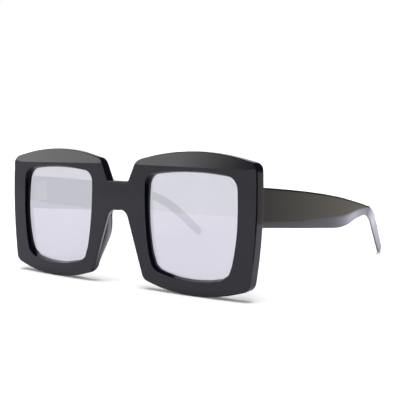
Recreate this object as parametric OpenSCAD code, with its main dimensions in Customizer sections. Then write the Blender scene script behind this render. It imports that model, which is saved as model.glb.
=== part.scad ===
// Oversized square sunglasses: a thick bevelled acetate front, two mirror lenses,
// nose pads and two folding temples on five-knuckle hinges.
// The front faces -Y, the temples run back along +Y and the floor is z = 0.

/* [Front] */
// Overall width of the front
front_width = 148.8; // [142:0.2:156]
// Height of the rims from the floor to the top of the brow
front_height = 63; // [60:0.5:67]
// Thickness of the acetate front
front_depth = 5.6; // [5.4:0.1:6.6]
// Radius of the face-form curve, seen from above
wrap_radius = 1000; // [800:50:2000]
// Backward lean of the front on its stand, in degrees
front_lean = 2.1; // [1:0.1:3]
// Height of the top of the nose arch
arch_height = 35.3; // [33:0.1:37]
// Height of the notch floor between the brows
notch_height = 48.6; // [47:0.1:50]
// Half width of the notch floor
notch_half_width = 6.1; // [5:0.1:7]
// Rounding of the front and outer edges
edge_radius = 0.6; // [0.5:0.05:0.8]
// Rounding of the rear edges in the notch
notch_edge_radius = 2; // [1.4:0.1:2.4]
// Rounding of the rear edges beside the nose
nose_edge_radius = 3.7; // [3.2:0.1:3.8]

/* [Brow facet] */
// Height of the facet's lower edge at the nose
facet_height = 56.6; // [55.8:0.1:57.4]
// Drop of that edge from the nose to the temple
facet_drop = 0.9; // [0:0.1:1.5]
// Angle by which the facet leans back, in degrees
facet_angle = 19; // [12:1:24]

/* [Rim corners] */
// Corner radius at the top of the nose arch
arch_radius = 4.8; // [3.5:0.1:5]
// Lower corner beside the nose
nose_foot_radius = 4; // [3:0.1:5]
// Lower outer corner
cheek_foot_radius = 4.5; // [3:0.1:6]
// Upper outer corner
brow_outer_radius = 3.6; // [2.8:0.1:4.4]
// Upper corner beside the notch
brow_inner_radius = 5; // [3:0.1:5.5]
// Fillet of the notch floor
notch_radius = 1.2; // [0.8:0.1:1.5]

/* [Lens openings] */
// Radius of the lower corner beside the nose
opening_nose_foot_radius = 7; // [5:0.1:7.5]
// Radius of the lower outer corner
opening_cheek_foot_radius = 6; // [5:0.1:7]
// Radius of the upper outer corner
opening_outer_radius = 6; // [5:0.1:7]
// Radius of the upper corner beside the nose
opening_inner_radius = 5.5; // [4.5:0.1:6.5]
// Draft of the opening's wall towards the lens
opening_draft = 0.5; // [0.3:0.05:0.7]
// Depth of the groove that holds the lens edge
groove_depth = 1; // [0.8:0.05:1.1]

/* [Lenses] */
// Front radius of the spherical lens
lens_radius = 400; // [340:10:500]
// Thickness of the lens
lens_thickness = 1.8; // [1.5:0.1:2]
// Depth of the lens centre behind the front face
lens_recess = 1.4; // [1.3:0.05:1.6]
// Gap between lens and groove
lens_gap = 0.05; // [0.03:0.01:0.1]

/* [Nose pads] */
// Greatest thickness of the pad towards the nose
pad_bulge = 1.8; // [1.4:0.1:2.2]
// Reach of the pad behind the rim
pad_reach = 2.8; // [2.2:0.1:3.2]
// Width of the pad's seat on the back of the rim
pad_seat = 2.6; // [2.2:0.1:3]

/* [Temples] */
// Length of the blade from the front to the ear bend
blade_length = 106; // [100:0.2:112]
// Height of the blade at the hinge
blade_height = 17; // [15:0.2:17.6]
// Thickness of the blade at the hinge
blade_thickness = 4.2; // [4:0.1:4.5]
// Thickness of the hook behind the ear
hook_thickness = 2.5; // [2.2:0.1:2.8]
// Fall of the blade towards the ear, in degrees
blade_fall = 6.5; // [6:0.1:7]
// Height of the hinge end of the blade's centre line
blade_rise = 40.3; // [39.8:0.1:40.8]
// Centre-line radius at the start of the ear bend
bend_radius = 12; // [10:0.5:14]
// Centre-line radius of the rest of the bend
sweep_radius = 60; // [50:1:70]
// Angle of the ear bend, in degrees
bend_angle = 34; // [31:0.5:37]
// Length of the rounding at the hook's tip
tip_length = 3.4; // [2.4:0.1:4]
// Inward turn of the hook, in degrees
hook_turn = 13.5; // [11:0.5:16]
// Inward turn of the open temples, in degrees
temple_toe = -0.2; // [-0.6:0.05:0.6]
// Set of the temples inside the front's outer wall
temple_inset = 1.3; // [1:0.1:1.6]
// Gap between the end of an open temple and the front
joint_gap = 0.08; // [0.05:0.01:0.15]
// Radius of the wire core
core_radius = 0.7; // [0.5:0.05:0.8]
// Gap round the wire core and the sunk hinge plates
bond_gap = 0.03; // [0.02:0.01:0.05]

/* [Hinges] */
// Height of the middle of the hinge above the floor
hinge_rise = 39.5; // [39:0.1:40.5]
// Radius of the knuckles
barrel_radius = 1.5; // [1.4:0.05:1.6]
// Distance of the hinge axis behind the front
hinge_reach = 3.5; // [3.2:0.1:3.8]
// Radius of the hinge screw
screw_radius = 0.7; // [0.6:0.05:0.8]
// Radius of the screw's head
head_radius = 1.2; // [1:0.05:1.3]
// Radial running clearance round the screw
screw_clearance = 0.04; // [0.02:0.01:0.08]
// Gap between neighbouring knuckles
knuckle_gap = 0.06; // [0.04:0.01:0.1]
// Running gap between the knuckles and the temple
barrel_gap = 0.3; // [0.25:0.01:0.4]
// Depth of the sunk hinge plates
plate_depth = 0.9; // [0.7:0.05:1]
// Length of the hinge plate in the temple
plate_length = 11; // [9:0.5:14]

/* [Hidden] */

acetate_colour = "#26262b";
lens_colour = "#d2d2da";
metal_colour = "#b9bcc0";
overrun = 0.5;
round_detail = 40;
lens_detail = 320;

half_width = front_width / 2;

// Corners of the rim as shares of half the width and of the height
nose_foot_share = [0.209, 0.073];
cheek_foot_share = [0.956, 0.08];
brow_outer_share = [0.989, 0.922];
brow_inner_share = [0.1431, 0.93];
// Outward bow of the rim's long edges
foot_bow = 4.88;
side_bow = 1.5;
brow_bow = 4.6;
// Share of a long edge's half that its bow takes up
outline_bow_share = 0.84;

// Corners of the opening as shares of half the width and of the height
opening_nose_foot_share = [0.2784, 0.118];
opening_cheek_foot_share = [0.842, 0.115];
opening_outer_share = [0.8658, 0.83];
opening_inner_share = [0.2194, 0.83];
// Outward bow of the opening's edges
opening_foot_bow = 1.7;
opening_side_bow = 1.2;
opening_top_bow = 2;
opening_nose_bow = 1.5;
opening_bow_share = 0.68;
// Middle of a lens as shares of half the width and of the height
lens_centre_share = [0.59, 0.476];

// Points spent on each stretch of the outline, in order round the rim
corner_steps = 7;
foot_steps = 9;
side_steps = 7;
brow_steps = 13;
notch_steps = 4;
bridge_steps = 3;
nose_steps = 10;

// Vectors in the plane of the front, as [x, z]
function unit(v) = v / norm(v);
function turned(v, angle) = [
    v[0] * cos(angle) - v[1] * sin(angle),
    v[0] * sin(angle) + v[1] * cos(angle)
];
function mixed(a, b, share) = a + (b - a) * share;
function cross_of(a, b) = a[0] * b[1] - a[1] * b[0];
function scaled(share) = [share[0] * half_width, share[1] * front_height];

// Points of the arc that rounds corner b between a and c
function rounded(a, b, c, radius, steps) =
    let (
        u = unit(a - b),
        v = unit(c - b),
        half = acos(u * v) / 2,
        centre = b + unit(u + v) * radius / sin(half),
        spoke = b + u * radius / tan(half) - centre,
        sweep = (180 - 2 * half) * sign(cross_of(-u, v))
    )
    [for (k = [0:steps - 1]) centre + turned(spoke, sweep * k / (steps - 1))];

// Corner whose rounding bows the edge from a to b outwards
function bow_corner(a, b, bow, share) =
    (a + b) / 2 + turned(unit(b - a), -90) * bow / (1 - share / 2);
function bowed(a, b, bow, share, steps) =
    let (
        peak = bow_corner(a, b, bow, share),
        u = unit(a - peak),
        v = unit(b - peak),
        half = acos(u * v) / 2,
        reach = norm(a - peak) * share
    )
    rounded(a, peak, b, reach * tan(half), steps);

nose_foot = scaled(nose_foot_share);
cheek_foot = scaled(cheek_foot_share);
brow_outer = scaled(brow_outer_share);
brow_inner = scaled(brow_inner_share);
notch_corner = [notch_half_width, notch_height];
notch_middle = [0, notch_height];
arch_middle = [0, arch_height];
// The arch corner lies where the nose line meets the arch
nose_slope = 0.345;
arch_corner = [nose_foot[0] - (arch_height - nose_foot[1]) * nose_slope, arch_height];

foot_peak = bow_corner(nose_foot, cheek_foot, foot_bow, outline_bow_share);
side_peak = bow_corner(cheek_foot, brow_outer, side_bow, outline_bow_share);
brow_peak = bow_corner(brow_outer, brow_inner, brow_bow, outline_bow_share);

arch_arc = rounded(arch_middle, arch_corner, nose_foot, arch_radius, corner_steps);
nose_foot_arc = rounded(arch_corner, nose_foot, foot_peak, nose_foot_radius, corner_steps);
nose_line = [
    for (k = [1:nose_steps])
        mixed(arch_arc[corner_steps - 1], nose_foot_arc[0], k / (nose_steps + 1))
];

// Outline of one rim, from its nose corner round the outside to the nose line
outline = concat(
    nose_foot_arc,
    bowed(nose_foot, cheek_foot, foot_bow, outline_bow_share, foot_steps),
    rounded(foot_peak, cheek_foot, side_peak, cheek_foot_radius, corner_steps),
    bowed(cheek_foot, brow_outer, side_bow, outline_bow_share, side_steps),
    rounded(side_peak, brow_outer, brow_peak, brow_outer_radius, corner_steps),
    bowed(brow_outer, brow_inner, brow_bow, outline_bow_share, brow_steps),
    rounded(brow_peak, brow_inner, notch_corner, brow_inner_radius, corner_steps),
    rounded(brow_inner, notch_corner, notch_middle, notch_radius, notch_steps),
    [notch_middle],
    [for (k = [1:bridge_steps]) mixed(notch_middle, arch_middle, k / (bridge_steps + 1))],
    [arch_middle],
    arch_arc,
    nose_line
);
ring_size = len(outline);
notch_index = ring_size - nose_steps - corner_steps - bridge_steps - 2;
arch_index = notch_index + bridge_steps + 1;
nose_first = arch_index + 1 + corner_steps;

opening_nose_foot = scaled(opening_nose_foot_share);
opening_cheek_foot = scaled(opening_cheek_foot_share);
opening_outer = scaled(opening_outer_share);
opening_inner = scaled(opening_inner_share);
opening_foot_peak =
    bow_corner(opening_nose_foot, opening_cheek_foot, opening_foot_bow, opening_bow_share);
opening_side_peak =
    bow_corner(opening_cheek_foot, opening_outer, opening_side_bow, opening_bow_share);
opening_top_peak =
    bow_corner(opening_outer, opening_inner, opening_top_bow, opening_bow_share);
opening_nose_peak =
    bow_corner(opening_inner, opening_nose_foot, opening_nose_bow, opening_bow_share);
opening_nose_steps = ring_size - 4 * corner_steps - foot_steps - side_steps - brow_steps;

// Front edge of the lens opening, point for point beside the outline
opening = concat(
    rounded(opening_nose_peak, opening_nose_foot, opening_foot_peak,
            opening_nose_foot_radius, corner_steps),
    bowed(opening_nose_foot, opening_cheek_foot, opening_foot_bow, opening_bow_share, foot_steps),
    rounded(opening_foot_peak, opening_cheek_foot, opening_side_peak,
            opening_cheek_foot_radius, corner_steps),
    bowed(opening_cheek_foot, opening_outer, opening_side_bow, opening_bow_share, side_steps),
    rounded(opening_side_peak, opening_outer, opening_top_peak,
            opening_outer_radius, corner_steps),
    bowed(opening_outer, opening_inner, opening_top_bow, opening_bow_share, brow_steps),
    rounded(opening_top_peak, opening_inner, opening_nose_peak,
            opening_inner_radius, corner_steps),
    bowed(opening_inner, opening_nose_foot, opening_nose_bow, opening_bow_share,
          opening_nose_steps)
);

// Outward normals of a closed path that runs anticlockwise
function outward(path, i) =
    let (n = len(path))
    unit(turned(unit(path[(i + 1) % n] - path[i]) + unit(path[i] - path[(i + n - 1) % n]), -90));
opening_normals = [for (i = [0:ring_size - 1]) outward(opening, i)];
outline_normals = [
    for (i = [0:ring_size - 1])
        i == notch_index ? [0, 1] : i == arch_index ? [0, -1]
        : i > notch_index && i < arch_index ? [0, 0] : outward(outline, i)
];
function opening_at(i, offset) = opening[i] + opening_normals[i] * offset;
// The bridge's points lie between the offset ends, on the plane of symmetry
function outline_at(i, inset) =
    i > notch_index && i < arch_index
    ? mixed(notch_middle - [0, inset], arch_middle + [0, inset],
            (i - notch_index) / (bridge_steps + 1))
    : outline[i] - outline_normals[i] * inset;

// The front's surface is bent round the face and leans back
lean_slope = tan(front_lean);
function face_y(p) = p[0] * p[0] / (2 * wrap_radius) + p[1] * lean_slope;
function on_face(p, depth) = [p[0], face_y(p) + depth, p[1]];

// Depth of the brow facet at a point
function crease_height(x) = facet_height - facet_drop * x / half_width;
function facet_depth(p) = max(0, p[1] - crease_height(p[0])) * tan(facet_angle);

// Lens surfaces: concentric spheres about a centre behind the opening
lens_middle = scaled(lens_centre_share);
lens_axis = let (v = [-lens_middle[0] / wrap_radius, 1, -lean_slope]) v / norm(v);
lens_centre = on_face(lens_middle, lens_recess) + lens_axis * lens_radius;
function sphere_y(p, radius) =
    lens_centre[1]
    - sqrt(radius * radius - pow(p[0] - lens_centre[0], 2) - pow(p[1] - lens_centre[2], 2));
function on_sphere(p, radius) = [p[0], sphere_y(p, radius), p[1]];
seat_front = lens_radius + lens_gap;
seat_back = lens_radius - lens_thickness - lens_gap;

// Soft step from 0 to 1
function smooth(f) = let (g = min(1, max(0, f))) g * g * (3 - 2 * g);

// Rounding of the rear edge at a point: larger in the notch, largest beside the nose
nose_zone = half_width * 0.42;
bridge_height = notch_height - arch_height;
function rear_radius(p) =
    let (
        low = smooth((notch_height - p[1]) / bridge_height),
        beside = mixed(notch_edge_radius, nose_edge_radius, low)
    )
    mixed(edge_radius, beside, smooth((nose_zone - p[0]) / (nose_zone / 2)));

opening_round = 0.35;
lip_round = 0.4;
lip_inset = 0.2;
crease_share_limit = 0.93;
half_round_share = 1 - cos(45);

// Section of the rim at one point of the ring, from the front face round to it again
function rim_section(i) =
    let (
        face_inner = opening_at(i, opening_round),
        face_outer = outline_at(i, edge_radius),
        crease_gap = face_outer[1] - face_inner[1],
        crease_z = crease_height(outline[i][0]),
        crease_share = facet_depth(face_outer) > 0
            ? (crease_z - face_inner[1]) / crease_gap : crease_share_limit,
        crease = mixed(face_inner, face_outer, min(crease_share_limit, crease_share)),
        front_set = facet_depth(face_outer),
        lip_front = opening_at(i, -opening_draft),
        groove = opening_at(i, groove_depth),
        lip_back = opening_at(i, -opening_draft + lip_inset),
        rear = rear_radius(outline[i])
    )
    [
        on_face(face_inner, 0),
        on_face(opening_at(i, opening_round * half_round_share), opening_round * half_round_share),
        on_face(opening_at(i, 0), opening_round),
        on_sphere(lip_front, seat_front),
        on_sphere(groove, seat_front),
        on_sphere(groove, seat_back),
        on_sphere(lip_back, seat_back),
        on_face(lip_back, front_depth - lip_round),
        on_face(opening_at(i, lip_round + lip_inset - opening_draft), front_depth),
        on_face(outline_at(i, rear), front_depth),
        on_face(outline_at(i, rear * (1 - sin(30))), front_depth - rear * (1 - cos(30))),
        on_face(outline_at(i, rear * (1 - sin(60))), front_depth - rear * (1 - cos(60))),
        on_face(outline_at(i, 0), front_depth - rear),
        on_face(outline_at(i, 0), front_set + edge_radius),
        on_face(outline_at(i, edge_radius * (1 - sin(60))),
                front_set + edge_radius * (1 - cos(60))),
        on_face(outline_at(i, edge_radius * (1 - sin(30))),
                front_set + edge_radius * (1 - cos(30))),
        on_face(face_outer, front_set),
        on_face(crease, 0)
    ];
sections = [for (i = [0:ring_size - 1]) rim_section(i)];
section_size = len(sections[0]);
half_count = ring_size * section_size;

// Builds the right-hand twin of a piece as its mirror image
module mirrored(side) {
    if (side > 0) children();
    else mirror([1, 0, 0]) children();
}

// Puts a piece on its side of the glasses, with the origin under their middle
module placed(side) {
    translate([0, -middle_y, 0]) mirrored(side) children();
}

// One closed skin for both rims: the halves share the points on the plane of symmetry
module front_frame() {
    function point_of(i, j) = sections[i % ring_size][j % section_size];
    function index_of(i, j, side) =
        let (here = (i % ring_size) * section_size + j % section_size)
        side > 0 || point_of(i, j)[0] == 0 ? here : half_count + here;
    function on_middle(i, j) =
        point_of(i, j)[0] + point_of(i + 1, j)[0]
        + point_of(i, j + 1)[0] + point_of(i + 1, j + 1)[0] == 0;
    skin_points = concat(
        [for (section = sections) each section],
        [for (section = sections) for (p = section) [-p[0], p[1], p[2]]]
    );
    skin_faces = [
        for (side = [1, -1])
            for (i = [0:ring_size - 1])
                for (j = [0:section_size - 1])
                    if (!on_middle(i, j))
                        let (
                            a = index_of(i, j, side),
                            b = index_of(i + 1, j, side),
                            c = index_of(i + 1, j + 1, side),
                            d = index_of(i, j + 1, side)
                        )
                        each (side > 0 ? [[a, c, b], [a, d, c]] : [[a, b, c], [a, c, d]])
    ];
    color(acetate_colour) placed(1) difference() {
        polyhedron(skin_points, skin_faces);
        for (side = [1, -1]) mirrored(side) leaf_foot(bond_gap, overrun);
    }
}

// Closes a tube of equal rings into one solid
module tube_skin(rings) {
    sides = len(rings[0]);
    last = len(rings) - 1;
    polyhedron(
        [for (ring = rings) each ring],
        concat(
            [[for (j = [sides - 1:-1:0]) j]],
            [
                for (i = [0:last - 1])
                    for (j = [0:sides - 1])
                        let (
                            a = i * sides + j,
                            b = i * sides + (j + 1) % sides,
                            c = a + sides,
                            d = b + sides
                        )
                        each [[a, b, c], [b, d, c]]
            ],
            [[for (j = [0:sides - 1]) last * sides + j]]
        )
    );
}

// Lens: a spherical shell cut to fit the groove
lens_span = front_depth + front_height * lean_slope + lens_recess;
module lens(side) {
    rim = [for (i = [0:ring_size - 1]) opening_at(i, groove_depth - lens_gap)];
    color(lens_colour) placed(side) intersection() {
        difference() {
            translate(lens_centre) sphere(lens_radius, $fn = lens_detail);
            translate(lens_centre) sphere(lens_radius - lens_thickness, $fn = lens_detail);
        }
        rotate([90, 0, 0]) translate([0, 0, -lens_span]) linear_extrude(lens_span) polygon(rim);
    }
}

// Nose pad: seated on the rim's rear rounding and back, bulging to the nose
pad_seat_angles = [90, 60, 30, 0];
// Turn from the back towards the nose, and thickness there
pad_bulge_shares = [
    [0.1, 0.95], [0.25, 1], [0.4, 1], [0.55, 0.9], [0.7, 0.68], [0.85, 0.38], [1, 0.08]
];
pad_back_share = 0.62;
pad_end_share = 0.1;
pad_skew = 0.7;
module nose_pad(side) {
    first = nose_first - 1;
    stations = nose_steps + 1;
    function seat_point(i, rear, angle, rise) =
        let (reach = rear + bond_gap + rise)
        on_face(outline_at(i, rear - reach * sin(angle)), front_depth - rear + reach * cos(angle));
    function back_point(i, width, rise) =
        on_face(outline_at(i, rear_radius(outline[i]) + width), front_depth + bond_gap + rise);
    function pad_ring(k) =
        let (
            i = (first + k) % ring_size,
            rear = rear_radius(outline[i]),
            swell = mixed(pad_end_share, 1, pow(sin(180 * pow(k / stations, pad_skew)), 2))
        )
        concat(
            [for (angle = pad_seat_angles) seat_point(i, rear, angle, 0)],
            [
                back_point(i, pad_seat, 0),
                back_point(i, pad_seat * pad_back_share, pad_reach * swell * pad_back_share)
            ],
            [
                for (row = pad_bulge_shares)
                    seat_point(i, rear, 90 * row[0],
                               swell * row[1] * mixed(pad_reach, pad_bulge, sin(90 * row[0])))
            ]
        );
    color(acetate_colour) placed(side) tube_skin([for (k = [0:stations]) pad_ring(k)]);
}

// Places of the hinge and of the temple's hinge end
function back_y(p) = face_y(p) + front_depth;
temple_x = half_width - temple_inset;
temple_y = back_y([temple_x, blade_rise]) + joint_gap;
hinge_x = temple_x - blade_thickness - barrel_gap - barrel_radius;
hinge_y = back_y([hinge_x, hinge_rise]) + hinge_reach;
hinge_height_share = 0.57;
hinge_height = hinge_height_share * blade_height;
hinge_z = hinge_rise - hinge_height / 2;
knuckle_count = 5;
knuckle_height = (hinge_height - (knuckle_count - 1) * knuckle_gap) / knuckle_count;
knuckle_pitch = knuckle_height + knuckle_gap;
web_share = 0.8;
foot_share = 0.85;
foot_rise = 0.35;
head_height = 0.55;
slot_share = 0.25;

// Temple sections as shares of the blade: way back, height above and below the
// centre line, and height of the lower bevel's edge
blade_shares = [
    [0.031, 0.470, 0.537, -0.430],
    [0.173, 0.466, 0.538, -0.418],
    [0.326, 0.456, 0.543, -0.395],
    [0.428, 0.439, 0.545, -0.335],
    [0.551, 0.413, 0.544, -0.276],
    [0.663, 0.374, 0.547, -0.218],
    [0.735, 0.340, 0.526, -0.170],
    [0.791, 0.307, 0.472, -0.115],
    [0.837, 0.276, 0.396, -0.050],
    [0.888, 0.242, 0.282, 0.022],
    [0.939, 0.207, 0.198, 0.070],
    [1, 0.157, 0.140, 0.086]
];
hook_share = 0.16;
hook_end_share = 0.14;
thin_start_share = 0.15;
tilt_start_share = 0.1;
blade_cuts = 2;
bend_cuts = 8;
hook_cuts = 3;
tip_cuts = 5;
tip_end_share = 0.97;
tip_thin_share = 0.45;
bevel_angle = 20;
top_bevel = 0.6;
blade_round = 0.7;
bevel_round = 0.3;
// Half width of the soft band between the blade's face and its lower bevel
bevel_blend = 1.3;
blend_limit_share = 0.4;

// Smooth curve through the rows of a table
function curve_row(rows, k, f) =
    let (
        a = rows[max(0, k - 1)],
        b = rows[k],
        c = rows[min(len(rows) - 1, k + 1)],
        d = rows[min(len(rows) - 1, k + 2)]
    )
    b + (c - a + (2 * a - 5 * b + 4 * c - d + (3 * (b - c) + d - a) * f) * f) * f / 2;
blade_rows = [
    for (k = [0:len(blade_shares) - 2])
        for (cut = [0:blade_cuts - 1])
            curve_row(blade_shares, k, cut / blade_cuts)
];

// Section of a temple as [outward, up] from its outer face and centre line
function temple_section(thickness, above, below, bevel, size) =
    let (
        shoulder = above - (top_bevel + bevel_round) * size,
        edge = min(bevel, shoulder),
        set = (edge + below) * tan(bevel_angle),
        turn = blade_round * size,
        part = turn * half_round_share,
        soft = bevel_round * size,
        rise = min(bevel_blend, (shoulder - edge) / 2 + soft / 4),
        fall = min(bevel_blend, (edge + below) * blend_limit_share)
    )
    [
        [-fall * tan(bevel_angle), edge - fall],
        [-fall * tan(bevel_angle) / 4, edge],
        [0, edge + rise],
        [0, shoulder + soft / 2],
        [-top_bevel * size, above],
        [turn - thickness, above],
        [part - thickness, above - part],
        [-thickness, above - turn],
        [-thickness, turn - below],
        [part - thickness, part - below],
        [turn - thickness, -below],
        [-set - soft, -below],
        [-set + soft * sin(bevel_angle), soft * cos(bevel_angle) - below]
    ];

// Centre line of the bend and the hook, and the hook's length down to the floor
hook_angle = blade_fall + bend_angle;
sweep_start_share = 0.45;
sweep_start = mixed(blade_fall, hook_angle, sweep_start_share);
neck = [blade_length, blade_rise - blade_length * tan(blade_fall)];
turn_start_share = 0.3;
turn_start = neck[0] + turn_start_share * bend_radius;
function turn_by(from, to, radius) = radius * [sin(to) - sin(from), cos(to) - cos(from)];
function bend_point(angle) =
    neck + turn_by(blade_fall, min(angle, sweep_start), bend_radius)
    + turn_by(sweep_start, max(angle, sweep_start), sweep_radius);
bend_end = bend_point(hook_angle);
hook_half = hook_share * blade_height;
hook_end_half = hook_end_share * blade_height;
tip_drop = norm([tip_length * sin(hook_angle), hook_end_half * cos(hook_angle)]);
hook_length = (bend_end[1] - tip_drop) / sin(hook_angle);
function hook_point(way) = bend_end + way * [cos(hook_angle), -sin(hook_angle)];

// Puts a section point into the part: back and height of the centre line, tilt and turn
function temple_point(q, centre, tilt, turn) =
    let (
        y = centre[0] + q[1] * sin(tilt),
        z = centre[1] + q[1] * cos(tilt),
        x = temple_x + q[0] - y * tan(temple_toe) - turn * tan(hook_turn) * (y - turn_start)
    )
    [x, temple_y + y, z];
function blade_thickness_at(share) =
    mixed(blade_thickness, hook_thickness, smooth((share - thin_start_share) / (1 - thin_start_share)));
function blade_section(row) =
    temple_section(blade_thickness_at(row[0]), row[1] * blade_height, row[2] * blade_height,
                   row[3] * blade_height, 1);

butt_ring = [
    for (q = blade_section(blade_shares[0]))
        let (x = temple_x + q[0], z = blade_rise + q[1])
        [x, back_y([x, z]) + joint_gap, z]
];
blade_rings = [
    for (row = blade_rows)
        let (
            y = row[0] * blade_length,
            centre = [y, blade_rise - y * tan(blade_fall)],
            tilt = blade_fall * smooth(row[0] / tilt_start_share)
        )
        [for (q = blade_section(row)) temple_point(q, centre, tilt, 0)]
];
// A ring of the hook: spread holds the heights of its top, foot and bevel edge
function hook_ring(centre, angle, turn, spread, size) =
    let (
        thin = mixed(tip_thin_share, 1, size),
        middle = hook_thickness / 2,
        held = spread * size
    )
    [
        for (q = temple_section(hook_thickness, held[0], held[1], held[2], size))
            temple_point([(q[0] + middle) * thin - middle, q[1]], centre, angle, turn)
    ];
neck_row = blade_shares[len(blade_shares) - 1];
neck_spread = blade_height * [neck_row[1], neck_row[2], neck_row[3]];
hook_spread = hook_half * [1, 1, 1];
hook_end_spread = hook_end_half * [1, 1, 1];
bend_rings = [
    for (k = [0:bend_cuts - 1])
        let (angle = blade_fall + bend_angle * k / bend_cuts, share = smooth(k / bend_cuts))
        hook_ring(bend_point(angle), angle, share, mixed(neck_spread, hook_spread, share), 1)
];
hook_rings = [
    for (k = [0:hook_cuts - 1])
        hook_ring(hook_point(hook_length * k / hook_cuts), hook_angle, 1,
                  mixed(hook_spread, hook_end_spread, k / hook_cuts), 1)
];
tip_rings = [
    for (k = [0:tip_cuts])
        let (way = sin(90 * k / tip_cuts) * tip_end_share)
        hook_ring(hook_point(hook_length + tip_length * way), hook_angle, 1,
                  hook_end_spread, sqrt(1 - way * way))
];

front_y = min([for (section = sections) for (p = section) p[1]]);
tip_y = max([for (ring = tip_rings) for (p = ring) p[1]]);
middle_y = (front_y + tip_y) / 2;

// Wire core, straight from the hinge plate to the neck
core_start_share = 0.13;
core_end_share = 0.87;
core_depth_share = 0.55;
function core_end(share) =
    let (y = share * blade_length)
    temple_point([-core_depth_share * blade_thickness_at(share), 0],
                 [y, blade_rise - y * tan(blade_fall)], 0, 0);
module rod(start, end, radius) {
    way = end - start;
    translate(start)
        rotate([0, acos(way[2] / norm(way)), atan2(way[1], way[0])])
        cylinder(norm(way), radius, radius, $fn = round_detail);
}

// Sunk plate of the temple leaf, with a gap round it when it is cut from the temple
module temple_plate(gap, open) {
    front = hinge_y - temple_y - barrel_radius;
    translate([temple_x, temple_y, 0]) rotate([0, 0, temple_toe])
        translate([-blade_thickness - open, front - gap, hinge_z - gap])
        cube([plate_depth + open + gap, plate_length + 2 * gap, hinge_height + 2 * gap]);
}

module temple(side) {
    color(acetate_colour) placed(side) difference() {
        tube_skin(concat([butt_ring], blade_rings, bend_rings, hook_rings, tip_rings));
        temple_plate(bond_gap, overrun);
        rod(core_end(core_start_share), core_end(core_end_share), core_radius + bond_gap);
    }
}

module temple_core(side) {
    way = unit(core_end(core_end_share) - core_end(core_start_share));
    color(metal_colour) placed(side)
        rod(core_end(core_start_share) + way * bond_gap, core_end(core_end_share) - way * bond_gap,
            core_radius);
}

// One knuckle and the web that joins it to its plate, towards the given side
module knuckle(level, reach) {
    web = web_share * barrel_radius;
    translate([hinge_x, hinge_y, hinge_z + level * knuckle_pitch]) {
        cylinder(knuckle_height, barrel_radius, barrel_radius, $fn = round_detail);
        translate([reach[0] > 0 ? 0 : -web, reach[1] < 0 ? reach[1] : -web, 0])
            cube([reach[0] > 0 ? reach[0] : 2 * web, reach[1] < 0 ? -reach[1] : 2 * web,
                  knuckle_height]);
    }
}
module hinge_bore() {
    translate([hinge_x, hinge_y, hinge_z - overrun])
        cylinder(hinge_height + 2 * overrun, screw_radius + screw_clearance,
                 screw_radius + screw_clearance, $fn = round_detail);
}

// Sunk foot of the front leaf, with a gap round it when it is cut from the front
foot_half = foot_share * barrel_radius;
foot_back = hinge_y - hinge_reach + foot_rise;
module leaf_foot(gap, open) {
    translate([hinge_x - foot_half - gap, foot_back - foot_rise - plate_depth - gap, hinge_z - gap])
        cube([2 * (foot_half + gap), plate_depth + foot_rise + gap + open, hinge_height + 2 * gap]);
}
module front_leaf(side) {
    color(metal_colour) placed(side) difference() {
        union() {
            leaf_foot(0, 0);
            for (level = [0, 2, 4]) knuckle(level, [0, foot_back - foot_rise / 2 - hinge_y]);
        }
        hinge_bore();
    }
}
module temple_leaf(side) {
    color(metal_colour) placed(side) difference() {
        union() {
            temple_plate(0, 0);
            for (level = [1, 3])
                knuckle(level, [barrel_radius + barrel_gap + plate_depth / 2, 0]);
        }
        hinge_bore();
    }
}

// Screw with a slotted head on the top knuckle
module hinge_screw(side) {
    slot = slot_share * head_radius;
    color(metal_colour) placed(side) translate([hinge_x, hinge_y, hinge_z]) difference() {
        union() {
            cylinder(hinge_height + knuckle_gap, screw_radius, screw_radius, $fn = round_detail);
            translate([0, 0, hinge_height + knuckle_gap])
                cylinder(head_height, head_radius, head_radius, $fn = round_detail);
        }
        translate([-head_radius - overrun, -slot / 2, hinge_height + knuckle_gap + head_height / 2])
            cube([2 * (head_radius + overrun), slot, head_height]);
    }
}

front_frame();
lens(1);  // left_lens
lens(-1);  // right_lens
nose_pad(1);  // left_nose_pad
nose_pad(-1);  // right_nose_pad
front_leaf(1);  // left_front_leaf
front_leaf(-1);  // right_front_leaf
hinge_screw(1);  // left_hinge_screw
hinge_screw(-1);  // right_hinge_screw
temple(1);  // left_temple
temple(-1);  // right_temple
temple_leaf(1);  // left_temple_leaf
temple_leaf(-1);  // right_temple_leaf
temple_core(1);  // left_temple_core
temple_core(-1);  // right_temple_core
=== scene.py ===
import math
import bmesh
import bpy
from mathutils import Matrix, Vector


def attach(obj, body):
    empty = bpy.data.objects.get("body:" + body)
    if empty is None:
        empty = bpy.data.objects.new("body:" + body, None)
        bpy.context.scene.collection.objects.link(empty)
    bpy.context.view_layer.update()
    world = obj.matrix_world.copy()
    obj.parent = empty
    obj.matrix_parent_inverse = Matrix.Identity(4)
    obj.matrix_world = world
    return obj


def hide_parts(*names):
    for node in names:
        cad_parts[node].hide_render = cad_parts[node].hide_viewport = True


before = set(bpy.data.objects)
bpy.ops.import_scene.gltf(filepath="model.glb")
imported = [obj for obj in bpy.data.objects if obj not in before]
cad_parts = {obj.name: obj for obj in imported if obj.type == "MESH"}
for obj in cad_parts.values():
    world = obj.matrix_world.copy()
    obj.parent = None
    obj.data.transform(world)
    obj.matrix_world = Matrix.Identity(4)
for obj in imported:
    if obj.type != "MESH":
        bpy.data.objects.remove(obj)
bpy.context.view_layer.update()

mm = 0.001


# Colours and small helpers

def srgb(text):  # a hex colour as it looks on screen, turned to linear light
    parts = [int(text[k:k + 2], 16) / 255 for k in (1, 3, 5)]
    return tuple(c / 12.92 if c <= 0.04045 else ((c + 0.055) / 1.055) ** 2.4 for c in parts) + (1,)


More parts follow.
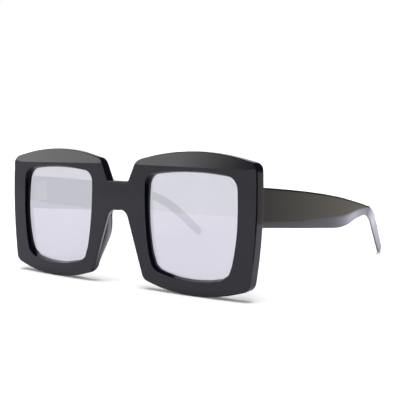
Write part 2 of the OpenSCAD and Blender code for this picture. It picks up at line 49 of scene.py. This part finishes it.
def addNode(tree, kind, links=(), **settings):
    # adds one node, sets its sockets and properties, and links what feeds it
    node = tree.nodes.new(kind)
    for name, value in settings.items():
        if hasattr(node, name):
            setattr(node, name, value)
        else:
            node.inputs[name.replace("_", " ")].default_value = value
    for socket, source in links:
        tree.links.new(source, node.inputs[socket])
    return node


def newMaterial(name):
    mat = bpy.data.materials.new(name)
    mat.use_nodes = True
    mat.node_tree.nodes.clear()
    return mat, mat.node_tree


def finishMaterial(tree, shader, bump=None):
    if bump:
        tree.links.new(bump.outputs["Normal"], shader.inputs["Normal"])
    addNode(tree, "ShaderNodeOutputMaterial", [("Surface", shader.outputs[0])])


# Cellulose acetate, tumbled and hand polished: almost black, wet-looking, with the
# faint waviness that the polishing wheel leaves. The walls of the lens openings mirror
# less, a painted shade that keeps them dark
acetate = {"colour": "#0b0b17", "roughness": 0.07, "ior": 1.49, "gloss": 0.5, "paintedShadeGloss": 0.12,
           "waveMm": 9.0, "waveDepthMm": 0.004, "clothMm": 0.35, "clothDepthMm": 0.0006}


def makeAcetate():
    mat, tree = newMaterial("polished black acetate")
    place = addNode(tree, "ShaderNodeTexCoord")
    wave = addNode(tree, "ShaderNodeTexNoise", [("Vector", place.outputs["Object"])],
                   Scale=1 / (acetate["waveMm"] * mm), Detail=1.0, Roughness=0.4)
    cloth = addNode(tree, "ShaderNodeTexNoise", [("Vector", place.outputs["Object"])],
                    Scale=1 / (acetate["clothMm"] * mm), Detail=2.0, Roughness=0.6)
    waveBump = addNode(tree, "ShaderNodeBump", [("Height", wave.outputs["Fac"])],
                       Strength=1.0, Distance=acetate["waveDepthMm"] * mm)
    bump = addNode(tree, "ShaderNodeBump",
                   [("Height", cloth.outputs["Fac"]), ("Normal", waveBump.outputs["Normal"])],
                   Strength=1.0, Distance=acetate["clothDepthMm"] * mm)
    # painted shade: the marked walls of the lens openings get a lower gloss, so they show dark
    paintedShadeMask = addNode(tree, "ShaderNodeAttribute", attribute_name="paintedShadeWall")
    gloss = addNode(tree, "ShaderNodeMapRange", [("Value", paintedShadeMask.outputs["Fac"])],
                    To_Min=acetate["gloss"], To_Max=acetate["paintedShadeGloss"])
    shader = addNode(tree, "ShaderNodeBsdfPrincipled",
                     [("Specular IOR Level", gloss.outputs["Result"])],
                     Base_Color=srgb(acetate["colour"]), Roughness=acetate["roughness"],
                     IOR=acetate["ior"])
    finishMaterial(tree, shader, bump)
    return mat


# Polycarbonate lens with a vacuum-deposited silver flash on its outer skin: a cool mirror
# that still lets a little light through
lens = {"colour": "#d8d7dc", "roughness": 0.02, "alpha": 0.9, "mottleMm": 14.0,
        "mottleDepthMm": 0.0015}


def makeMirrorLens():
    mat, tree = newMaterial("silver flash polycarbonate")
    place = addNode(tree, "ShaderNodeTexCoord")
    mottle = addNode(tree, "ShaderNodeTexNoise", [("Vector", place.outputs["Object"])],
                     Scale=1 / (lens["mottleMm"] * mm), Detail=1.0)
    bump = addNode(tree, "ShaderNodeBump", [("Height", mottle.outputs["Fac"])],
                   Strength=1.0, Distance=lens["mottleDepthMm"] * mm)
    inside = addNode(tree, "ShaderNodeNewGeometry")
    cover = addNode(tree, "ShaderNodeMapRange", [("Value", inside.outputs["Backfacing"])],
                    To_Min=lens["alpha"], To_Max=0.0)  # the coat's inner side is clear
    shader = addNode(tree, "ShaderNodeBsdfPrincipled", [("Alpha", cover.outputs["Result"])],
                     Base_Color=srgb(lens["colour"]), Metallic=1.0, Roughness=lens["roughness"])
    finishMaterial(tree, shader, bump)
    return mat


# Nickel silver hinge stock, barrel polished after stamping: warm grey with fine scuffs
hinge = {"colour": "#b8b5ad", "roughness": 0.28, "scuffMm": 0.25, "scuffDepthMm": 0.004}


def makeHingeMetal():
    mat, tree = newMaterial("barrel polished nickel silver")
    place = addNode(tree, "ShaderNodeTexCoord")
    scuff = addNode(tree, "ShaderNodeTexNoise", [("Vector", place.outputs["Object"])],
                    Scale=1 / (hinge["scuffMm"] * mm), Detail=3.0)
    bump = addNode(tree, "ShaderNodeBump", [("Height", scuff.outputs["Fac"])],
                   Strength=1.0, Distance=hinge["scuffDepthMm"] * mm)
    shader = addNode(tree, "ShaderNodeBsdfPrincipled", Base_Color=srgb(hinge["colour"]),
                     Metallic=1.0, Roughness=hinge["roughness"])
    finishMaterial(tree, shader, bump)
    return mat


# Turned stainless screw: brighter than the hinge, with fine turning rings
screw = {"colour": "#c9cacc", "roughness": 0.22, "ringMm": 0.08, "ringDepthMm": 0.003}


def makeScrewSteel():
    mat, tree = newMaterial("turned stainless steel")
    place = addNode(tree, "ShaderNodeTexCoord")
    ring = addNode(tree, "ShaderNodeTexWave", [("Vector", place.outputs["Object"])],
                   wave_type="RINGS", rings_direction="Z", Scale=0.5 / (screw["ringMm"] * mm))
    bump = addNode(tree, "ShaderNodeBump", [("Height", ring.outputs["Fac"])],
                   Strength=1.0, Distance=screw["ringDepthMm"] * mm)
    shader = addNode(tree, "ShaderNodeBsdfPrincipled", Base_Color=srgb(screw["colour"]),
                     Metallic=1.0, Roughness=screw["roughness"])
    finishMaterial(tree, shader, bump)
    return mat


acetateMat = makeAcetate()
lensMat = makeMirrorLens()
hingeMat = makeHingeMetal()
screwMat = makeScrewSteel()
print("materials made")


# Smooth shading of the merged copies. Edges stay crisp at a turn beyond sharpDegrees, or at one
# beyond creaseDegrees between two broad faces above creaseAboveMm, the edge of the brow facet
finish = {"mergeMm": 0.002, "flatWeight": 80, "creaseDegrees": 10, "creaseAboveMm": 52,
          "broadMm": 0.6}


def isCrisp(edge, sharpDegrees):
    turn = math.degrees(edge.calc_face_angle(math.pi))
    if turn > sharpDegrees:
        return True
    broad = min(face.calc_area() for face in edge.link_faces) / edge.calc_length()
    return (turn > finish["creaseDegrees"] and broad > finish["broadMm"] * mm
            and min(vert.co.z for vert in edge.verts) > finish["creaseAboveMm"] * mm)


# Lens openings of the front. filedMm says how far the lips of the lower edge are filed inwards
# of the routed line, by the angle in degrees round the lens: 0 is towards the cheek and -90
# straight down. All places are on the wearer's left, and the right side mirrors them
opening = {"middleMm": (40.58, 29.96), "windowMm": ((15.6, 65.5), (5.0, 54.9)),
           "lensCentreMm": (26.37, 324.86, 15.34), "lipMm": 1.1, "besideDegrees": 1.5,
           "filedMm": {-150: 0, -138: 0.7, -132: 1.4, -126: 2.0, -120: 1.8, -108: 1.15,
                       -90: 0.95, -78: 1.0, -66: 1.2, -54: 1.85, -48: 2.4, -42: 1.9,
                       -30: 0.8, -18: 0.35, 0: 0},
           "wallShare": 0.75}


def filedInset(angle):  # eased from one angle of the table to the next, 0 outside it
    steps = list(opening["filedMm"].items())
    for (fromAngle, fromInset), (toAngle, toInset) in zip(steps, steps[1:]):
        if fromAngle <= angle <= toAngle:
            share = (angle - fromAngle) / (toAngle - fromAngle)
            return fromInset + (toInset - fromInset) * share * share * (3 - 2 * share)
    return 0


def fileOpenings(mesh):
    # the lips, no more than lipMm outside the inner edge beside them, move along the sphere of
    # the lens; the groove stays
    midX, midZ = opening["middleMm"]
    (lowX, highX), (lowZ, highZ) = opening["windowMm"]
    centre = Vector(opening["lensCentreMm"])
    for side in (1, -1):
        spots = []
        for vert in mesh.verts:
            x, z = vert.co.x / mm * side, vert.co.z / mm
            if lowX < x < highX and lowZ < z < highZ:
                angle = math.degrees(math.atan2(z - midZ, x - midX))
                spots.append((angle, math.hypot(x - midX, z - midZ), vert))
        for angle, radius, vert in spots:
            inset = filedInset(angle)
            innerEdge = min(r for a, r, other in spots if abs(a - angle) < opening["besideDegrees"])
            if inset == 0 or radius - innerEdge > opening["lipMm"]:
                continue
            old = Vector((vert.co.x / mm * side, vert.co.y / mm, vert.co.z / mm))
            x = old.x - inset * math.cos(math.radians(angle))
            z = old.z - inset * math.sin(math.radians(angle))
            y = centre.y - math.sqrt((old - centre).length ** 2
                                     - (x - centre.x) ** 2 - (z - centre.z) ** 2)
            vert.co = Vector((x * side, y, z)) * mm


# painted shade: the walls marked here mirror less than the rest of the acetate, so they stay dark
def markWalls(mesh):  # the walls of both openings: steep faces within the outline of a lens
    layer = mesh.faces.layers.float.new("paintedShadeWall")
    for side in ("left", "right"):
        corners = [vert.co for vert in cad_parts[side + "_lens"].data.vertices]
        lows, highs = ([pick(c[k] for c in corners) for k in range(3)] for pick in (min, max))
        for face in mesh.faces:
            middle = face.calc_center_median()
            isInside = all(lows[k] <= middle[k] <= highs[k] for k in (0, 2))
            if isInside and abs(face.normal.y) < opening["wallShare"]:
                face[layer] = 1.0


def smoothCopy(node, mat, body, sharpDegrees):
    # a merged, smooth-shaded copy of a CAD node that keeps its real edges
    mesh = bmesh.new()
    mesh.from_mesh(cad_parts[node].data)
    bmesh.ops.remove_doubles(mesh, verts=mesh.verts, dist=finish["mergeMm"] * mm)
    if node == "front_frame":
        fileOpenings(mesh)
        mesh.normal_update()
        markWalls(mesh)
    for face in mesh.faces:
        face.smooth = True
    for edge in mesh.edges:
        edge.smooth = not isCrisp(edge, sharpDegrees)
    data = bpy.data.meshes.new(node + "_finish")
    mesh.to_mesh(data)
    mesh.free()
    piece = bpy.data.objects.new(node + "_finish", data)
    bpy.context.scene.collection.objects.link(piece)
    data.materials.append(mat)
    weights = piece.modifiers.new("flat faces stay flat", "WEIGHTED_NORMAL")
    weights.keep_sharp = True
    weights.weight = finish["flatWeight"]
    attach(piece, body)
    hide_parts(node)


smoothCopy("front_frame", acetateMat, "front", 38)
for side, arm in (("left", "left_arm"), ("right", "right_arm")):
    smoothCopy(side + "_nose_pad", acetateMat, "front", 50)
    smoothCopy(side + "_temple", acetateMat, arm, 18)
    smoothCopy(side + "_lens", lensMat, "front", 30)
    smoothCopy(side + "_front_leaf", hingeMat, "front", 30)
    smoothCopy(side + "_temple_leaf", hingeMat, arm, 30)
    smoothCopy(side + "_hinge_screw", screwMat, "front", 30)
    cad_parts[side + "_temple_core"].data.materials.clear()
    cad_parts[side + "_temple_core"].data.materials.append(hingeMat)
print("pieces made")


# Studio: a white room, with a dark ceiling that only mirrors see, and a white paper floor. A
# soft box stands high at the left, and even light comes from straight above, so that the
# shadow stays by the feet. Sizes and distances are in metres
studio = {"world": 0.25, "ceiling": 0.03, "ceilingFromDegrees": 16, "ceilingToDegrees": 26,
          "floor": "#ffffff", "mirroredFloor": "#dbdae3", "floorSize": 8.0, "floorLift": 0.15,
          "lookAtMm": (0, -60, 35),
          "softBox": {"azimuth": -52, "elevation": 36, "distance": 1.2, "width": 1.3,
                      "height": 0.5, "watts": 1.5},
          "overhead": {"strength": 3.05, "softDegrees": 45}}

# Cards that only reflections see: the soft box's face and a cool panel for the front of the
# glasses, a small bright card and a dark one for its right end, and a dark card with a warm
# strip below it for the left temple. Azimuth 0 is in front of the glasses, + to the right. A
# fade gives the strength at two places along the width, in metres from the middle
cards = {"softBoxFace": {"azimuth": -52, "elevation": 31, "distance": 1.19, "width": 1.34,
                         "height": 0.66, "colour": "#fffefc",
                         "fade": ((0.25, 2.65), (0.47, 0.25))},
         "coolPanel": {"azimuth": -42, "elevation": 2, "distance": 1.0, "width": 0.9,
                       "height": 0.42, "colour": "#f0f1f7"},
         "edgeCard": {"azimuth": 83, "elevation": 0, "distance": 0.129, "width": 0.097,
                      "height": 0.2, "colour": "#fffefc", "fade": ((0.008, 0.003), (0.046, 0.5))},
         "darkCard": {"azimuth": 60, "elevation": 12, "distance": 0.25, "width": 0.342,
                      "height": 0.23, "colour": "#0c0c0e"},
         "rearCard": {"azimuth": 142, "elevation": 25, "distance": 0.3, "width": 0.5,
                      "height": 0.25, "colour": "#3a3733"},
         "warmCard": {"azimuth": 142, "elevation": -3, "distance": 0.225, "width": 0.3,
                      "height": 0.062, "colour": "#fff8e8",
                      "fade": ((-0.06, 0.4), (0.042, 1.22))}}


def directionTo(azimuth, elevation):
    a, e = math.radians(azimuth), math.radians(elevation)
    return Vector((math.sin(a) * math.cos(e), -math.cos(a) * math.cos(e), math.sin(e)))


def lookPath(tree):  # 1 for a ray that comes from the camera, a mirror or glass
    path = addNode(tree, "ShaderNodeLightPath")
    lookOrGloss = addNode(tree, "ShaderNodeMath", [(0, path.outputs["Is Camera Ray"]),
                          (1, path.outputs["Is Glossy Ray"])], operation="MAXIMUM")
    anyLook = addNode(tree, "ShaderNodeMath", [(0, lookOrGloss.outputs[0]),
                      (1, path.outputs["Is Transmission Ray"])], operation="MAXIMUM")
    return path, anyLook.outputs[0]


def makeWorld():
    world = bpy.data.worlds.new("white studio")
    world.use_nodes = True
    tree = world.node_tree
    tree.nodes.clear()
    path, anyLook = lookPath(tree)
    place = addNode(tree, "ShaderNodeTexCoord")
    height = addNode(tree, "ShaderNodeSeparateXYZ", [("Vector", place.outputs["Generated"])])
    low, high = (math.sin(math.radians(studio[k]))
                 for k in ("ceilingFromDegrees", "ceilingToDegrees"))
    shade = addNode(tree, "ShaderNodeMapRange", [("Value", height.outputs["Z"])],
                    From_Min=low, From_Max=high, To_Min=1.0, To_Max=studio["ceiling"])
    room = addNode(tree, "ShaderNodeBackground", Color=(1, 1, 1, 1), Strength=studio["world"])
    mirrored = addNode(tree, "ShaderNodeBackground", [("Strength", shade.outputs["Result"])],
                       Color=(1, 1, 1, 1))
    seen = addNode(tree, "ShaderNodeBackground", Color=(1, 1, 1, 1), Strength=1.0)
    gloss = addNode(tree, "ShaderNodeMixShader", [(0, path.outputs["Is Glossy Ray"]),
                    (1, seen.outputs[0]), (2, mirrored.outputs[0])])
    mix = addNode(tree, "ShaderNodeMixShader", [(0, anyLook), (1, room.outputs[0]),
                  (2, gloss.outputs[0])])
    addNode(tree, "ShaderNodeOutputWorld", [("Surface", mix.outputs[0])])
    bpy.context.scene.world = world


def makeSheet(name, mat, width, height):
    mesh = bmesh.new()
    bmesh.ops.create_grid(mesh, x_segments=1, y_segments=1, size=0.5)
    bmesh.ops.scale(mesh, vec=(width, height, 1), verts=mesh.verts)
    data = bpy.data.meshes.new(name)
    mesh.to_mesh(data)
    mesh.free()
    data.materials.append(mat)
    sheet = bpy.data.objects.new(name, data)
    bpy.context.scene.collection.objects.link(sheet)
    return sheet


# Pools of light on the floor beside the left temple's hook and behind the nose arch, which only
# mirrors see. Each is at its brightest over its inner part, whose share is flatShare
pools = {"flatShare": 0.2,
         "hook": {"centreMm": (72, 125), "radiiMm": (53, 82), "gain": 2.4, "colour": "#ede9ff"},
         "nose": {"centreMm": (21, -40), "radiiMm": (45, 45), "gain": 3.1, "colour": "#f4f4ff"}}


def addPool(tree, facts):  # bright in the middle of a soft oval on the floor, 0 beyond
    place = addNode(tree, "ShaderNodeTexCoord")
    moved = addNode(tree, "ShaderNodeVectorMath", [(0, place.outputs["Object"])],
                    operation="SUBTRACT")
    moved.inputs[1].default_value = (facts["centreMm"][0] * mm, facts["centreMm"][1] * mm, 0)
    shrunk = addNode(tree, "ShaderNodeVectorMath", [(0, moved.outputs[0])], operation="DIVIDE")
    shrunk.inputs[1].default_value = (facts["radiiMm"][0] * mm, facts["radiiMm"][1] * mm, 1)
    oval = addNode(tree, "ShaderNodeTexGradient", [("Vector", shrunk.outputs[0])],
                   gradient_type="SPHERICAL")
    level = addNode(tree, "ShaderNodeMapRange", [("Value", oval.outputs["Fac"])],
                    interpolation_type="SMOOTHSTEP", From_Max=1 - pools["flatShare"],
                    To_Max=facts["gain"])
    return addNode(tree, "ShaderNodeEmission", [("Strength", level.outputs["Result"])],
                   Color=srgb(facts["colour"]))


def makeFloor():
    # paper that takes the shadow, and that mirrors see with the pools of light
    mat, tree = newMaterial("white paper sweep")
    path, anyLook = lookPath(tree)
    paper = addNode(tree, "ShaderNodeBsdfDiffuse", Color=srgb(studio["floor"]))
    lift = addNode(tree, "ShaderNodeEmission", Strength=studio["floorLift"])
    lifted = addNode(tree, "ShaderNodeAddShader", [(0, paper.outputs[0]), (1, lift.outputs[0])])
    mirrored = addNode(tree, "ShaderNodeBsdfDiffuse", Color=srgb(studio["mirroredFloor"]))
    for name in ("hook", "nose"):
        pool = addPool(tree, pools[name])
        mirrored = addNode(tree, "ShaderNodeAddShader",
                           [(0, mirrored.outputs[0]), (1, pool.outputs[0])])
    seen = addNode(tree, "ShaderNodeMixShader", [(0, path.outputs["Is Glossy Ray"]),
                   (1, lifted.outputs[0]), (2, mirrored.outputs[0])])
    mix = addNode(tree, "ShaderNodeMixShader", [(0, anyLook), (1, paper.outputs[0]),
                  (2, seen.outputs[0])])
    finishMaterial(tree, mix)
    makeSheet("paper_sweep", mat, studio["floorSize"], studio["floorSize"])


def aimAt(thing, facts):
    way = directionTo(facts["azimuth"], facts["elevation"])
    thing.location = way * facts["distance"] + Vector(studio["lookAtMm"]) * mm
    thing.rotation_euler = way.to_track_quat("Z", "Y").to_euler()


def addLamp(name, kind):
    # lights the floor and the glasses, but has no mirror image: the cards give that
    light = bpy.data.lights.new(name, kind)
    lamp = bpy.data.objects.new(name, light)
    bpy.context.scene.collection.objects.link(lamp)
    lamp.visible_camera = lamp.visible_glossy = False
    return light, lamp


def addSoftBox():
    facts = studio["softBox"]
    light, lamp = addLamp("softBox", "AREA")
    light.shape = "RECTANGLE"
    light.size, light.size_y = facts["width"], facts["height"]
    light.energy = facts["watts"]
    aimAt(lamp, facts)


def addOverhead():  # a sun lamp shines straight down as it is made
    facts = studio["overhead"]
    light, lamp = addLamp("overhead", "SUN")
    light.energy = facts["strength"]
    light.angle = math.radians(facts["softDegrees"])


def addCard(name):
    facts = cards[name]
    mat, tree = newMaterial(name)
    glow = addNode(tree, "ShaderNodeEmission", Color=srgb(facts["colour"]), Strength=1.0)
    if "fade" in facts:
        (fromX, fromGlow), (toX, toGlow) = facts["fade"]
        place = addNode(tree, "ShaderNodeTexCoord")
        across = addNode(tree, "ShaderNodeSeparateXYZ", [("Vector", place.outputs["Object"])])
        level = addNode(tree, "ShaderNodeMapRange", [("Value", across.outputs["X"])],
                        From_Min=fromX, From_Max=toX, To_Min=fromGlow, To_Max=toGlow)
        tree.links.new(level.outputs["Result"], glow.inputs["Strength"])
    finishMaterial(tree, glow)
    card = makeSheet(name, mat, facts["width"], facts["height"])
    aimAt(card, facts)
    card.visible_camera = card.visible_diffuse = card.visible_shadow = False
    card.visible_transmission = False


makeWorld()
makeFloor()
addSoftBox()
addOverhead()
for cardName in cards:
    addCard(cardName)

# Camera: found by matching the outlines of both rims and both temples. Angles are in degrees
shot = {"placeMm": (243.1, -347.251, 76.5), "yaw": 35.88, "pitch": -5.83, "roll": -0.38,
        "focalPixels": 786.8, "framePixels": 400, "sensorMm": 36.0, "clipMm": (10, 20000)}


def makeCamera():
    yaw, pitch, roll = (math.radians(shot[k]) for k in ("yaw", "pitch", "roll"))
    ahead = Vector((-math.sin(yaw) * math.cos(pitch), math.cos(yaw) * math.cos(pitch),
                    math.sin(pitch)))
    right = Vector((math.cos(yaw), math.sin(yaw), 0))
    right = right * math.cos(roll) + right.cross(ahead) * math.sin(roll)
    up = right.cross(ahead)
    data = bpy.data.cameras.new("camera")
    data.sensor_width = shot["sensorMm"]
    data.lens = shot["sensorMm"] * shot["focalPixels"] / shot["framePixels"]
    data.clip_start, data.clip_end = (reach * mm for reach in shot["clipMm"])
    camera = bpy.data.objects.new("camera", data)
    bpy.context.scene.collection.objects.link(camera)
    turn = Matrix((right, up, -ahead)).transposed().to_4x4()
    camera.matrix_world = Matrix.Translation(Vector(shot["placeMm"]) * mm) @ turn
    bpy.context.scene.camera = camera


makeCamera()
bpy.context.scene.view_settings.view_transform = "Standard"
print("studio made")

bpy.context.view_layer.update()
